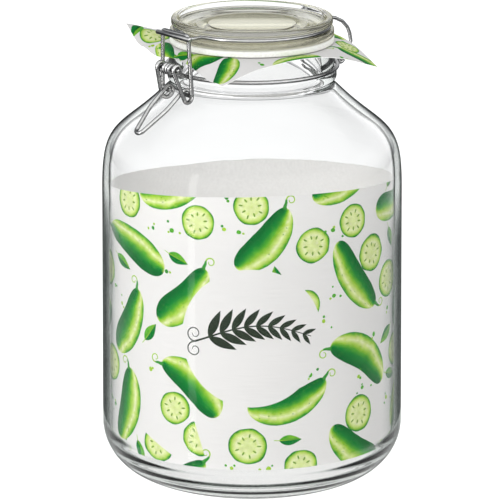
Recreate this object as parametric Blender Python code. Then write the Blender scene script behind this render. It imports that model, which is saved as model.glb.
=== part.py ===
"""Airtight preserving jar: a big round glass jar with a wire-bail closure and a hinged glass lid.

Metres, +Z up. The origin is the middle of the flat underside. The clamp is at -Y, the hinge at +Y.
"""
import math
import bpy
import bmesh
from mathutils import Vector

# ---- driving dimensions, in metres ----
BODY_R = 0.0925           # outside radius where the side meets the shoulder
BODY_FOOT_R = 0.0934      # outside radius just above the rounded foot
HEEL_R = 0.0319           # radius of the rounded foot
WALL = 0.0041             # glass thickness at the side
FLOOR = 0.006             # glass thickness at the bottom
INNER_HEEL_R = 0.028
SHOULDER_Z = 0.1786       # where the side starts to curve in
SHOULDER_RISE = 0.0451    # how long the curve keeps the side's direction
SHOULDER_RUN = 0.0442     # how long it keeps the neck's slope
SHOULDER_SLOPE = math.radians(45.2)
NECK_R = 0.0538           # foot of the neck
NECK_Z = 0.2435
SEAT_R = 0.0506           # glass behind the neck wire
MOUTH_R = 0.0430
MOUTH_Z = 0.2714
LIP = 0.0015              # rounding of the lip
# outside of the neck, up from the shoulder, with its waist and bead, and the bore's foot: radius, height
NECK_OUTSIDE = ((0.0513, 0.2456), (0.0501, 0.2480), (0.0510, 0.2501), (0.0519, 0.2514),
                (0.0519, 0.2550), (SEAT_R, 0.2562))
BORE_FOOT = ((MOUTH_R, 0.2490), (0.0459, 0.2446))

GAP = 0.0003              # running and resting clearance
PAPER = 0.0006            # thickness of the printed papers

SLEEVE_GAP = 0.0005
SLEEVE_BOTTOM = 0.0262
SLEEVE_TOP = 0.1865       # mean height of the sleeve's top edge
SLEEVE_LEAN = (0.096, -0.050)      # rise of the top edge towards +X and +Y, metres per metre

WIRE_R = 0.0013           # neck wire, lever and bail
LID_WIRE_R = 0.0011
NECK_WIRE_R = 0.0523
NECK_WIRE_Z = 0.2578

FLANGE_R = 0.0502
LID_BASE_Z = 0.2765       # underside of the lid's flange
GROOVE_R = 0.0458
GROOVE_HALF = 0.0014      # half the groove's height
LID_EDGE = 0.0008         # how far the lid's edges are cut off
LID_WIRE_RING_R = 0.0475
LID_WIRE_Z = 0.2824
LID_TOP_Z = 0.2882
# the lid's plug from the middle out: radius, height above the flange's underside
LID_PLUG = ((0.0, -0.0024), (0.0372, -0.0024), (0.0382, -0.0032), (0.0398, -0.0032), (0.0404, 0.0))
# its raised rim and its stepped top inside the rim: radius, depth below the rim
LID_RIM = ((0.0494, 0.0016), (0.0484, 0.0004), (0.0468, 0.0), (0.0453, 0.0006), (0.0445, 0.0024),
           (0.0441, 0.0037))
LID_STEPS = ((0.0349, 0.0042), (0.0340, 0.0051), (0.0275, 0.0053), (0.0265, 0.0044), (0.0, 0.0042))
GASKET = (0.0410, 0.0503, 0.2726, 0.2762)      # inner radius, outer radius, bottom, top
GASKET_EDGE = 0.0005

PIN = (0.0643, 0.2640)    # ear pin that the lever turns on: distance in front of the axis, height
COIL_TURNS = 4            # turns of wire wound on the pin between its legs
COIL_ROOT = 0.0031        # the winding's radius between two turns
COIL_OUT = 0.0038         # its outside radius
EAR_LEG_X = 0.0037        # where the ear's two legs leave the neck ring
HOOK_START = 200          # direction of the lever's hook ends round the pin, degrees
EYE = (0.0580, 0.2476)    # lever's eyes, which hold the bail's feet
EYE_R = 0.0037
HANDLE_END = 0.0896       # how far in front of the axis the handle reaches
HANDLE_SLOPE = math.radians(39.0)
HANDLE_HALF = 0.0079      # half the handle's width, centre to centre
HANDLE_TAPER = 0.0205     # length of its narrowing end
HANDLE_TIP = 0.0033       # half its width at the tip
EYE_X = 0.0112            # the crank's side of each eye
EAR_HALF = 0.0098         # half the ear pin's length
BAIL_FOOT = (0.0580, 0.2484)                   # where its feet turn in the eyes: distance in front, height
BAIL_TOP = (0.0124, 0.0592, 0.2853)            # half width, distance in front, height
BAIL_FOOT_X = (0.0063, 0.0143)                 # inner end and leg
BAIL_ROD = (0.0164, 0.0606, 0.2837)            # the thumb rod: half width, distance, height
BAIL_BEND = 0.0025

HINGE = (0.0606, 0.2555)  # hinge pin: distance behind the axis, height
HINGE_X = 0.0122          # where the lid's arms meet it
HINGE_HALF = 0.0152
HINGE_LEG_X = 0.0060      # the two legs that hold the hinge pin
HINGE_EYE = 250           # how far the lid's eyes go round the pin, degrees
TONGUE = (0.0095, 0.0558) # half width, distance in front of the axis
LID_WIRE_BEND = 0.0022
# each arm of the lid wire: distance behind the axis, height
ARM = ((0.0515, LID_WIRE_Z), (0.0562, 0.2814), (0.0621, 0.2785), (0.0662, 0.2742),
       (0.0680, 0.2702), (0.0690, 0.2652))

SQUARE_SIDE = 0.1143      # paper square under the lid
SQUARE_FLAT_R = 0.0508    # the gasket holds it flat inside this radius
SQUARE_MIDDLE_R = 0.030   # ring of points in its flat middle
SQUARE_Z = 0.2720
SQUARE_BEND = 0.0030      # how soon past the gasket it has its full slope
SQUARE_CORNER = 38.0      # direction of one corner, degrees from +X
# how steeply the free paper hangs: (direction from +X, slope), both in degrees
SQUARE_HANG = ((-142, -15), (-128, 12), (-116, 55), (-97, 75), (-82, 75), (-67, 45), (-52, 22),
               (-34, 15), (-7, 5), (38, 25), (83, 10), (128, 12), (173, 10), (196, 0), (218, -15))

TURNS = 40                # facets round a turned piece


def material(name, colour, roughness, metallic=0.0, alpha=1.0):
    """A Principled material in one colour."""
    made = bpy.data.materials.new(name)
    made.use_nodes = True
    shader = made.node_tree.nodes["Principled BSDF"]
    shader.inputs["Base Color"].default_value = (*colour, 1.0)
    shader.inputs["Roughness"].default_value = roughness
    shader.inputs["Metallic"].default_value = metallic
    shader.inputs["Alpha"].default_value = alpha
    return made


def clear_scene():
    """Removes every object of the open scene."""
    for old in list(bpy.data.objects):
        bpy.data.objects.remove(old, do_unlink=True)


def finish(name, mesh, look, smooth_angle=40.0):
    """An object of the mesh in the scene, with its material, shaded smooth."""
    body = bpy.data.objects.new(name, mesh)
    bpy.context.scene.collection.objects.link(body)
    mesh.materials.clear()
    mesh.materials.append(look)
    mesh.shade_smooth()
    mesh.set_sharp_from_angle(angle=math.radians(smooth_angle))
    return body


def bezier(start, lead_in, lead_out, end, steps):
    """Points of a cubic curve after its start."""
    points = []
    for step in range(1, steps + 1):
        t = step / steps
        s = 1.0 - t
        weights = (s ** 3, 3 * s * s * t, 3 * s * t * t, t ** 3)
        corners = (start, lead_in, lead_out, end)
        points.append(tuple(sum(w * c[i] for w, c in zip(weights, corners)) for i in (0, 1)))
    return points


def arc(centre, radius, first, last, steps):
    """Points of an arc, both ends included; angles in degrees from the outward direction."""
    points = []
    for step in range(steps + 1):
        angle = math.radians(first + (last - first) * step / steps)
        points.append((centre[0] + radius * math.cos(angle), centre[1] + radius * math.sin(angle)))
    return points


def turned(profile, closed=False, axis="Z", turns=TURNS):
    """A mesh spun from a profile of (radius, height) points about an axis through the origin."""
    bm = bmesh.new()
    verts = [bm.verts.new((radius, 0.0, height)) for radius, height in profile]
    edges = [bm.edges.new(pair) for pair in zip(verts, verts[1:])]
    if closed:
        edges.append(bm.edges.new((verts[-1], verts[0])))
    bmesh.ops.spin(bm, geom=verts + edges, cent=(0, 0, 0), axis=(0, 0, 1), angle=2 * math.pi,
                   steps=turns, use_merge=True)
    bmesh.ops.remove_doubles(bm, verts=bm.verts, dist=1e-6)
    bmesh.ops.recalc_face_normals(bm, faces=bm.faces)
    if axis == "X":
        for vert in bm.verts:
            x, y, z = vert.co
            vert.co = (z, y, -x)
    mesh = bpy.data.meshes.new("turned")
    bm.to_mesh(mesh)
    bm.free()
    return mesh


def shoulder(inset, steps):
    """The curve from the side up to the neck, moved in by the glass thickness."""
    start = (BODY_R - inset, SHOULDER_Z)
    end = (NECK_R - inset * math.sin(SHOULDER_SLOPE), NECK_Z - inset * math.cos(SHOULDER_SLOPE))
    lead_in = (start[0], start[1] + SHOULDER_RISE - 0.6 * inset)
    run = SHOULDER_RUN - 0.3 * inset
    lead_out = (end[0] + run * math.cos(SHOULDER_SLOPE), end[1] - run * math.sin(SHOULDER_SLOPE))
    return [start] + bezier(start, lead_in, lead_out, end, steps)


def inside_profile():
    """The inner wall from the middle of the floor to the foot of the neck."""
    centre = (BODY_FOOT_R - WALL - INNER_HEEL_R, FLOOR + INNER_HEEL_R)
    return [(0.0, FLOOR)] + arc(centre, INNER_HEEL_R, -90, 0, 6) + shoulder(WALL, 8)


def inside_radius(height):
    """Inner radius of the glass at a height between the floor and the neck."""
    wall = inside_profile()
    for (r0, z0), (r1, z1) in zip(wall, wall[1:]):
        if z0 <= height <= z1 and z1 > z0:
            return r0 + (r1 - r0) * (height - z0) / (z1 - z0)
    return wall[-1][0]


def jar_glass(look):
    """The jar, one piece of clear glass, open at the mouth."""
    flat = BODY_FOOT_R - HEEL_R
    outside = [(0.0, 0.0)] + arc((flat, HEEL_R), HEEL_R, -90, 0, 8) + shoulder(0.0, 10)
    outside += list(NECK_OUTSIDE)
    lip = [(SEAT_R, MOUTH_Z - LIP), (SEAT_R - LIP, MOUTH_Z), (MOUTH_R + LIP, MOUTH_Z), (MOUTH_R, MOUTH_Z - LIP)]
    inner = list(BORE_FOOT) + list(reversed(inside_profile()))
    return finish("jar_glass", turned(outside + lip + inner), look)


def paper_sleeve(look):
    """The printed paper rolled up inside the body, its top edge cut a little aslant."""
    levels = (0.0, 0.03, 0.07, 0.5, 0.94, 1.0)
    bm = bmesh.new()
    walls = []
    for inset in (SLEEVE_GAP, SLEEVE_GAP + PAPER):
        rows = []
        for level in levels:
            row = []
            for turn in range(TURNS):
                angle = 2 * math.pi * turn / TURNS
                toward = Vector((math.cos(angle), math.sin(angle)))
                top = SLEEVE_TOP + BODY_R * toward.dot(Vector(SLEEVE_LEAN))
                height = SLEEVE_BOTTOM + level * (top - SLEEVE_BOTTOM)
                radius = inside_radius(height) - inset
                row.append(bm.verts.new((radius * toward.x, radius * toward.y, height)))
            rows.append(row)
        walls.append(rows)
    outer, inner = walls
    strips = list(zip(outer, outer[1:])) + list(zip(inner, inner[1:]))
    strips += [(outer[0], inner[0]), (outer[-1], inner[-1])]
    for low, high in strips:
        for turn in range(TURNS):
            after = (turn + 1) % TURNS
            bm.faces.new((low[turn], low[after], high[after], high[turn]))
    bmesh.ops.recalc_face_normals(bm, faces=bm.faces)
    mesh = bpy.data.meshes.new("paper_sleeve")
    bm.to_mesh(mesh)
    bm.free()
    return finish("paper_sleeve", mesh, look)


def rounded(points, radius, steps=4):
    """The points with each sharp corner replaced by an arc of about the radius."""
    path = [points[0]]
    for before, corner, after in zip(points, points[1:], points[2:]):
        back = before - corner
        ahead = after - corner
        turn = math.pi - back.angle(ahead)
        reach = min(radius * math.tan(turn / 2), 0.49 * back.length, 0.49 * ahead.length)
        if turn < math.radians(14):
            path.append(corner)
            continue
        first = corner + back.normalized() * reach
        last = corner + ahead.normalized() * reach
        for step in range(steps + 1):
            t = step / steps
            path.append(first * (1 - t) ** 2 + corner * (2 * t * (1 - t)) + last * t ** 2)
    path.append(points[-1])
    return path


def wire(name, path, radius, look, cyclic=False, sides=8):
    """A bent round wire along a path, with flat ends, as an object."""
    curve = bpy.data.curves.new(name, "CURVE")
    curve.dimensions = "3D"
    curve.bevel_depth = radius
    curve.bevel_resolution = (sides - 4) // 2
    curve.use_fill_caps = True
    spline = curve.splines.new("POLY")
    spline.points.add(len(path) - 1)
    for point, place in zip(spline.points, path):
        point.co = (*place, 1.0)
    spline.use_cyclic_u = cyclic
    guide = bpy.data.objects.new(name + "_path", curve)
    bpy.context.scene.collection.objects.link(guide)
    depsgraph = bpy.context.evaluated_depsgraph_get()
    mesh = bpy.data.meshes.new_from_object(guide.evaluated_get(depsgraph))
    bpy.data.objects.remove(guide, do_unlink=True)
    bpy.data.curves.remove(curve)
    bm = bmesh.new()
    bm.from_mesh(mesh)
    bmesh.ops.remove_doubles(bm, verts=bm.verts, dist=1e-6)
    bmesh.ops.recalc_face_normals(bm, faces=bm.faces)
    bm.to_mesh(mesh)
    bm.free()
    return finish(name, mesh, look)


def fuse(name, pieces, look):
    """One body of several that overlap; each of them is used up."""
    group = bpy.data.collections.new(name + "_pieces")
    bpy.context.scene.collection.children.link(group)
    base = pieces[0]
    for piece in pieces[1:]:
        group.objects.link(piece)
    union = base.modifiers.new("union", "BOOLEAN")
    union.operation = "UNION"
    union.solver = "EXACT"
    union.operand_type = "COLLECTION"
    union.collection = group
    depsgraph = bpy.context.evaluated_depsgraph_get()
    mesh = bpy.data.meshes.new_from_object(base.evaluated_get(depsgraph))
    for piece in pieces:
        bpy.data.objects.remove(piece, do_unlink=True)
    bpy.data.collections.remove(group)
    bm = bmesh.new()
    bm.from_mesh(mesh)
    bmesh.ops.remove_doubles(bm, verts=bm.verts, dist=2e-6)
    bm.to_mesh(mesh)
    bm.free()
    return finish(name, mesh, look)


def front(x, out, height):
    """A point on the clamp's side, given how far it is in front of the jar's axis."""
    return Vector((x, -out, height))


def circle(radius, height, first, last, steps):
    """Points round the jar's axis; angles in degrees from +X."""
    return [Vector((x, y, height)) for x, y in arc((0.0, 0.0), radius, first, last, steps)]


def neck_wire(look):
    """The ring round the neck, with the lever's ear in front and the hinge pin behind."""
    ring = circle(NECK_WIRE_R, NECK_WIRE_Z, 0, 360, TURNS)[:-1]
    pieces = [wire("ring", ring, WIRE_R, look, cyclic=True)]
    pieces.append(wire("ear_pin", [front(-EAR_HALF, *PIN), front(EAR_HALF, *PIN)], WIRE_R, look))
    coil_end = COIL_TURNS * WIRE_R
    outline = [(0.0, -coil_end)]
    for turn in range(COIL_TURNS):
        middle = (2 * turn + 1 - COIL_TURNS) * WIRE_R
        outline += [(COIL_ROOT, middle - WIRE_R), (COIL_OUT, middle - 0.4 * WIRE_R)]
        outline += [(COIL_OUT, middle + 0.4 * WIRE_R)]
    outline += [(COIL_ROOT, coil_end), (0.0, coil_end)]
    coil = finish("coil", turned(outline, axis="X", turns=12), look)
    coil.data.transform(coil.matrix_world.Translation(front(0.0, *PIN)))
    pieces.append(coil)
    for x in (-EAR_LEG_X, EAR_LEG_X):
        leg = [front(x, PIN[0] - 0.0010, PIN[1] - 0.0022), front(x, NECK_WIRE_R, NECK_WIRE_Z)]
        pieces.append(wire("ear_leg", leg, WIRE_R, look))
    ends = [Vector((x, *HINGE)) for x in (-HINGE_HALF, HINGE_HALF)]
    pieces.append(wire("hinge_pin", ends, WIRE_R, look))
    for x in (-HINGE_LEG_X, HINGE_LEG_X):
        leg = [Vector((x, *HINGE)), Vector((x, NECK_WIRE_R - 0.0004, NECK_WIRE_Z))]
        pieces.append(wire("hinge_leg", leg, WIRE_R, look))
    return fuse("neck_wire", pieces, look)


def lever_handle(look):
    """The lever: hooks on the ear pin, a turned eye for each of the bail's feet, and the handle."""
    hook_r = 2 * WIRE_R + GAP
    crank = Vector((EYE[0] - PIN[0], EYE[1] - PIN[1]))
    meet = 90.0 + math.degrees(math.atan2(crank.y, crank.x) + math.asin((EYE_R - hook_r) / crank.length))
    leave = 90.0 - math.degrees(HANDLE_SLOPE) - 360.0
    half = [front(HANDLE_HALF, *point) for point in arc(PIN, hook_r, HOOK_START, meet, 10)]
    turn_steps = 14
    for step, point in enumerate(arc(EYE, EYE_R, meet, leave, turn_steps)):
        slide = step / turn_steps
        half.append(front(EYE_X + (HANDLE_HALF - EYE_X) * slide, *point))
    start = half[-1]
    length = (HANDLE_END - WIRE_R + start.y) / math.cos(HANDLE_SLOPE)
    along = Vector((0.0, -math.cos(HANDLE_SLOPE), -math.sin(HANDLE_SLOPE)))
    kink = start + along * (length - HANDLE_TAPER)
    half.append(Vector((HANDLE_HALF, kink.y, kink.z)))
    bend = 5
    for step in range(bend):
        angle = math.radians(15 + 75.0 * step / bend)
        place = start + along * (length - HANDLE_TIP + HANDLE_TIP * math.sin(angle))
        half.append(Vector((HANDLE_TIP * math.cos(angle), place.y, place.z)))
    tip = start + along * length
    other = [Vector((-p.x, p.y, p.z)) for p in reversed(half)]
    path = half + [Vector((0.0, tip.y, tip.z))] + other
    return wire("lever_handle", path, WIRE_R, look)


def bail_loop(look):
    """The bail: a wire frame that hooks over the lid's tongue, with a thumb rod welded across it."""
    top_x, top_out, top_z = BAIL_TOP
    corners = [front(x, *BAIL_FOOT) for x in BAIL_FOOT_X] + [front(top_x, top_out, top_z)]
    corners += [Vector((-p.x, p.y, p.z)) for p in reversed(corners)]
    frame = wire("bail_frame", rounded(corners, BAIL_BEND), WIRE_R, look)
    rod_half, rod_out, rod_z = BAIL_ROD
    rod = wire("rod", [front(-rod_half, rod_out, rod_z), front(rod_half, rod_out, rod_z)], WIRE_R, look)
    return fuse("bail_loop", [frame, rod], look)


def lid_wire(look):
    """The wire in the lid's groove: tongue in front, two arms behind with eyes on the hinge pin."""
    tongue_x, tongue_out = TONGUE
    first = -90.0 + math.degrees(math.asin(tongue_x / LID_WIRE_RING_R))
    last = 90.0 - math.degrees(math.asin(HINGE_X / LID_WIRE_RING_R))
    half = [front(0.0, tongue_out, LID_WIRE_Z), front(tongue_x, tongue_out, LID_WIRE_Z)]
    half += circle(LID_WIRE_RING_R, LID_WIRE_Z, first, last, 17)
    half += [Vector((HINGE_X, *point)) for point in ARM]
    half = rounded(half, LID_WIRE_BEND, 3)
    eye_r = WIRE_R + GAP + LID_WIRE_R
    out = Vector(ARM[-1]) - Vector(HINGE)
    meet = math.degrees(math.atan2(out.y, out.x) - math.acos(eye_r / out.length))
    half += [Vector((HINGE_X, *point)) for point in arc(HINGE, eye_r, meet, meet - HINGE_EYE, 10)]
    other = [Vector((-p.x, p.y, p.z)) for p in reversed(half[1:])]
    return wire("lid_wire", other + half, LID_WIRE_R, look)


def lid_glass(look):
    """The pressed glass lid: rim on top, groove for its wire, plug below."""
    base, edge = LID_BASE_Z, LID_EDGE
    low, high = LID_WIRE_Z - GROOVE_HALF, LID_WIRE_Z + GROOVE_HALF
    rim_r = LID_RIM[0][0]
    plug = [(radius, base + height) for radius, height in LID_PLUG]
    flange = [(FLANGE_R - edge, base), (FLANGE_R, base + edge), (FLANGE_R, low - edge), (FLANGE_R - edge, low)]
    groove = [(GROOVE_R, low), (GROOVE_R, high), (rim_r - edge, high), (rim_r, high + edge)]
    top = [(radius, LID_TOP_Z - depth) for radius, depth in LID_RIM + LID_STEPS]
    return finish("lid_glass", turned(plug + flange + groove + top), look)


def rubber_gasket(look):
    """The flat rubber ring that the lid is pressed down on."""
    inner, outer, low, high = GASKET
    edge = GASKET_EDGE
    ring = [(inner + edge, low), (outer - edge, low), (outer, low + edge), (outer, high - edge)]
    ring += [(outer - edge, high), (inner + edge, high), (inner, high - edge), (inner, low + edge)]
    return finish("rubber_gasket", turned(ring, closed=True), look)


def hang(degrees):
    """Slope of the free paper in a direction, eased between the given ones, in radians."""
    while degrees < SQUARE_HANG[0][0]:
        degrees += 360.0
    while degrees > SQUARE_HANG[-1][0]:
        degrees -= 360.0
    for (a0, s0), (a1, s1) in zip(SQUARE_HANG, SQUARE_HANG[1:]):
        if a0 <= degrees <= a1:
            t = (degrees - a0) / (a1 - a0)
            return math.radians(s0 + (s1 - s0) * t * t * (3 - 2 * t))
    return 0.0


def paper_square(look):
    """The square of printed paper between mouth and gasket; it is creased down round the gasket."""
    rays = 40
    half = SQUARE_SIDE / 2
    fractions = (0.08, 0.2, 0.4, 0.7, 1.0)
    bm = bmesh.new()
    centre = bm.verts.new((0.0, 0.0, SQUARE_Z))
    rows = [[] for _ in range(2 + len(fractions))]
    for ray in range(rays):
        degrees = SQUARE_CORNER + 360.0 * ray / rays
        toward = Vector((math.cos(math.radians(degrees)), math.sin(math.radians(degrees)), 0.0))
        off_side = (360.0 * ray / rays) % 90.0 - 45.0
        edge = half / math.cos(math.radians(off_side))
        slope = hang(degrees)
        for row, flat in zip(rows, (SQUARE_MIDDLE_R, SQUARE_FLAT_R)):
            row.append(bm.verts.new(toward * flat + Vector((0, 0, SQUARE_Z))))
        place = toward * SQUARE_FLAT_R + Vector((0, 0, SQUARE_Z))
        done = 0.0
        for row, fraction in zip(rows[2:], fractions):
            reach = fraction * (edge - SQUARE_FLAT_R)
            middle = (done + reach) / 2
            tilt = slope * min(1.0, middle / SQUARE_BEND)
            place = place + (toward * math.cos(tilt) - Vector((0, 0, math.sin(tilt)))) * (reach - done)
            done = reach
            row.append(bm.verts.new(place))
    for ray in range(rays):
        after = (ray + 1) % rays
        bm.faces.new((centre, rows[0][ray], rows[0][after]))
        for low, high in zip(rows, rows[1:]):
            bm.faces.new((low[ray], high[ray], high[after], low[after]))
    bmesh.ops.recalc_face_normals(bm, faces=bm.faces)
    mesh = bpy.data.meshes.new("paper_square")
    bm.to_mesh(mesh)
    bm.free()
    sheet = finish("paper_square", mesh, look)
    thick = sheet.modifiers.new("paper", "SOLIDIFY")
    thick.thickness = PAPER
    thick.offset = 0.0
    thick.use_even_offset = True
    return sheet


clear_scene()
glass = material("clear_glass", (0.86, 0.93, 0.90), 0.03, alpha=0.35)
steel = material("bright_steel", (0.62, 0.62, 0.60), 0.25, metallic=1.0)
rubber = material("white_rubber", (0.86, 0.86, 0.82), 0.55)
print_paper = material("printed_paper", (0.62, 0.72, 0.36), 0.6)

jar_glass(glass)
paper_sleeve(print_paper)
neck_wire(steel)
lever_handle(steel)
bail_loop(steel)
lid_glass(glass)
rubber_gasket(rubber)
lid_wire(steel)
paper_square(print_paper)
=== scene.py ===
import math
import random

import bpy
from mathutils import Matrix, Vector, noise
from mathutils.geometry import delaunay_2d_cdt


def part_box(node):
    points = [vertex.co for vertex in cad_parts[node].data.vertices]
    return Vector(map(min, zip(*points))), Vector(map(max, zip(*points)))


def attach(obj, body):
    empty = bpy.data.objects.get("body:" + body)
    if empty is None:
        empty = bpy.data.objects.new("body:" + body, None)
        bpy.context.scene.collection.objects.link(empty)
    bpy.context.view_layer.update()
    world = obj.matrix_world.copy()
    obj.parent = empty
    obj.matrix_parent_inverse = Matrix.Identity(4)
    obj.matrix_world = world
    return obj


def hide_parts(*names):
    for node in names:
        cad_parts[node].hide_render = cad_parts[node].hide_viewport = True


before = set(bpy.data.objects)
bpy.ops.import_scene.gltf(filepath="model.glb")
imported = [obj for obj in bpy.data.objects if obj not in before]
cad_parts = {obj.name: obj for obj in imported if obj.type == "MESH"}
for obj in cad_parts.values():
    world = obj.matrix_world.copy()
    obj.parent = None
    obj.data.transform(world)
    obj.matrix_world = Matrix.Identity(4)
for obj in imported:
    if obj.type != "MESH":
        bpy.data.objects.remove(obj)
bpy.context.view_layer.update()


# ---- The jar: one piece of soda-lime glass, blown in a mould, so the wall is thin, the foot is thick and
# rounded, and the neck has a bead with the wire's seat above it. The clamp is at -Y, the hinge at +Y.

JAR_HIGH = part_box("jar_glass")[1]
FOOT_R = JAR_HIGH.x             # outside radius just above the rounded foot
MOUTH_Z = JAR_HIGH.z
BODY_R = 0.0925                 # outside radius where the side meets the shoulder
HEEL_R = 0.0319                 # radius of the rounded foot
# the hollow underneath: its height, and how far out its roof and its rim keep level
PUSH_UP = (0.0030, 0.0350, 0.0500)
FOOT_RING = 0.0040              # width of the flat ring that the jar stands on
WALL = 0.0041                   # glass thickness at the side
FLOOR = 0.0060                  # glass thickness at the bottom
FLOOR_CROWN = 0.0012            # the floor is thicker by this in its middle
INNER_HEEL_R = 0.0280
HEEL_WAVE = 0.00018             # slow rings in the glass inside the foot
HEEL_RINGS = 11                 # half waves of them from the floor to the side
HEEL_STEPS = 48
SHOULDER_Z = 0.1786             # where the side starts to curve in
SHOULDER_RISE = 0.0451          # how long the curve keeps the side's direction
SHOULDER_RUN = 0.0442           # how long it keeps the neck's slope
SHOULDER_SLOPE = math.radians(45.2)
INNER_RISE_LESS, INNER_RUN_LESS = 0.6, 0.3      # the inner curve's are less, by these shares of the wall
NECK_R, NECK_Z = 0.0538, 0.2435
SEAT_R = 0.0506                 # glass behind the neck wire
# the neck's outside, as curves that follow each other: two leads, the end, and how many points
NECK_CURVES = (((0.0510, 0.2458), (0.0501, 0.2470), (0.0501, 0.2480), 4),       # in to the waist
               ((0.0501, 0.2494), (0.0519, 0.2498), (0.0519, 0.2520), 6),       # out over the bead
               ((0.0519, 0.2558), (0.0507, 0.2552), (SEAT_R, 0.2566), 6))       # in to the neck wire's seat
MOUTH_R = 0.0430
BORE_LOW = 0.2510               # the mouth is straight down to here
BORE_LEAD = 0.0040              # how long its curve keeps the mouth's and the shoulder's directions
LIP = 0.0015                    # rounding of the lip
MERGE = 1e-6                    # points closer than this are one
TURNS = 144                     # facets round a turned piece
CREASE = math.radians(50)       # edges sharper than this stay crisp


def arc(centre, radius, first, last, steps):
    """Points of an arc, both ends included; angles in degrees from the outward direction."""
    points = []
    for step in range(steps + 1):
        angle = math.radians(first + (last - first) * step / steps)
        points.append((centre[0] + radius * math.cos(angle), centre[1] + radius * math.sin(angle)))
    return points


def bezier(start, lead_in, lead_out, end, steps):
    """Points of a cubic curve after its start."""
    points = []
    for step in range(1, steps + 1):
        t = step / steps
        s = 1.0 - t
        weights = (s ** 3, 3 * s * s * t, 3 * s * t * t, t ** 3)
        corners = (start, lead_in, lead_out, end)
        points.append(tuple(sum(w * c[i] for w, c in zip(weights, corners)) for i in (0, 1)))
    return points


def shoulder(inset, steps):
    """The curve from the side up to the neck, moved in by the glass thickness."""
    start = (BODY_R - inset, SHOULDER_Z)
    end = (NECK_R - inset * math.sin(SHOULDER_SLOPE), NECK_Z - inset * math.cos(SHOULDER_SLOPE))
    lead_in = (start[0], start[1] + SHOULDER_RISE - INNER_RISE_LESS * inset)
    run = SHOULDER_RUN - INNER_RUN_LESS * inset
    lead_out = (end[0] + run * math.cos(SHOULDER_SLOPE), end[1] - run * math.sin(SHOULDER_SLOPE))
    return [start] + bezier(start, lead_in, lead_out, end, steps)


def inside_profile():
    """The inner wall from the middle of the floor to the foot of the neck."""
    centre = (FOOT_R - WALL - INNER_HEEL_R, FLOOR + INNER_HEEL_R)
    heel = []
    for step in range(HEEL_STEPS + 1):
        share = math.pi * step / HEEL_STEPS
        angle = math.radians(-90 + 90 * step / HEEL_STEPS)
        radius = INNER_HEEL_R + HEEL_WAVE * math.sin(share) * math.sin(HEEL_RINGS * share)
        heel.append((centre[0] + radius * math.cos(angle), centre[1] + radius * math.sin(angle)))
    return [(0.0, FLOOR + FLOOR_CROWN)] + heel + shoulder(WALL, 24)


def turned(name, outline):
    """Draws half of the section by extruding one point along it, then spins it round the jar's axis."""
    bpy.ops.object.select_all(action="DESELECT")
    bpy.ops.mesh.primitive_plane_add(size=0.001, location=(0, 0, 0))
    piece = bpy.context.object
    piece.name = name
    bpy.ops.object.mode_set(mode="EDIT")
    bpy.ops.mesh.select_all(action="SELECT")
    bpy.ops.mesh.merge(type="CENTER")
    bpy.ops.transform.translate(value=(outline[0][0], 0, outline[0][1]))
    for (r0, z0), (r1, z1) in zip(outline, outline[1:]):
        bpy.ops.mesh.extrude_vertices_move(TRANSFORM_OT_translate={"value": (r1 - r0, 0, z1 - z0)})
    bpy.ops.mesh.select_all(action="SELECT")
    bpy.ops.mesh.spin(steps=TURNS, angle=2 * math.pi, center=(0, 0, 0), axis=(0, 0, 1))
    bpy.ops.mesh.select_all(action="SELECT")
    bpy.ops.mesh.remove_doubles(threshold=MERGE)
    bpy.ops.mesh.normals_make_consistent(inside=False)
    bpy.ops.object.mode_set(mode="OBJECT")
    bpy.ops.object.shade_smooth_by_angle(angle=CREASE)
    return piece


def linear(colour):
    """An sRGB hex colour as linear red, green, blue and a full alpha."""
    parts = [int(colour[i:i + 2], 16) / 255 for i in (1, 3, 5)]
    return tuple(c / 12.92 if c <= 0.04045 else ((c + 0.055) / 1.055) ** 2.4 for c in parts) + (1.0,)


def new_material(name):
    """An empty node material."""
    made = bpy.data.materials.new(name)
    made.use_nodes = True
    made.node_tree.nodes.clear()
    return made


def add_node(owner, kind, settings=None, links=None):
    """Adds a node; settings are values by socket or property, links feed its sockets."""
    made = owner.node_tree.nodes.new(kind)
    for key, value in (settings or {}).items():
        if isinstance(key, int) or key in made.inputs:
            made.inputs[key].default_value = value
        else:
            setattr(made, key, value)
    for key, output in (links or {}).items():
        owner.node_tree.links.new(output, made.inputs[key])
    return made


def set_stops(ramp, stops):
    """Sets a colour ramp's stops from (position, hex colour) pairs."""
    elements = ramp.color_ramp.elements
    while len(elements) < len(stops):
        elements.new(0.5)
    for element, (place, colour) in zip(elements, stops):
        element.position = place
        element.color = linear(colour)


GLASS_IOR = 1.52
# the mirror image in the glass is painted darker face on, as painted shade on its reflection: (how much light
# glances off, its strength)
FACE_ON_DIMMING = [(0.05, "#7c7c7c"), (0.30, "#ffffff")]
# share of the lighter painted edge shade by height, from the underside (0) to the mouth (1): much in the
# foot, none in the side, all in the shoulder and neck
LIGHTER_EDGE_SHADE_SHARE = [(0.02, "#f0f0f0"), (0.11, "#505050"), (0.15, "#000000"), (0.56, "#000000"),
                 (0.68, "#ffffff")]


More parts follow.
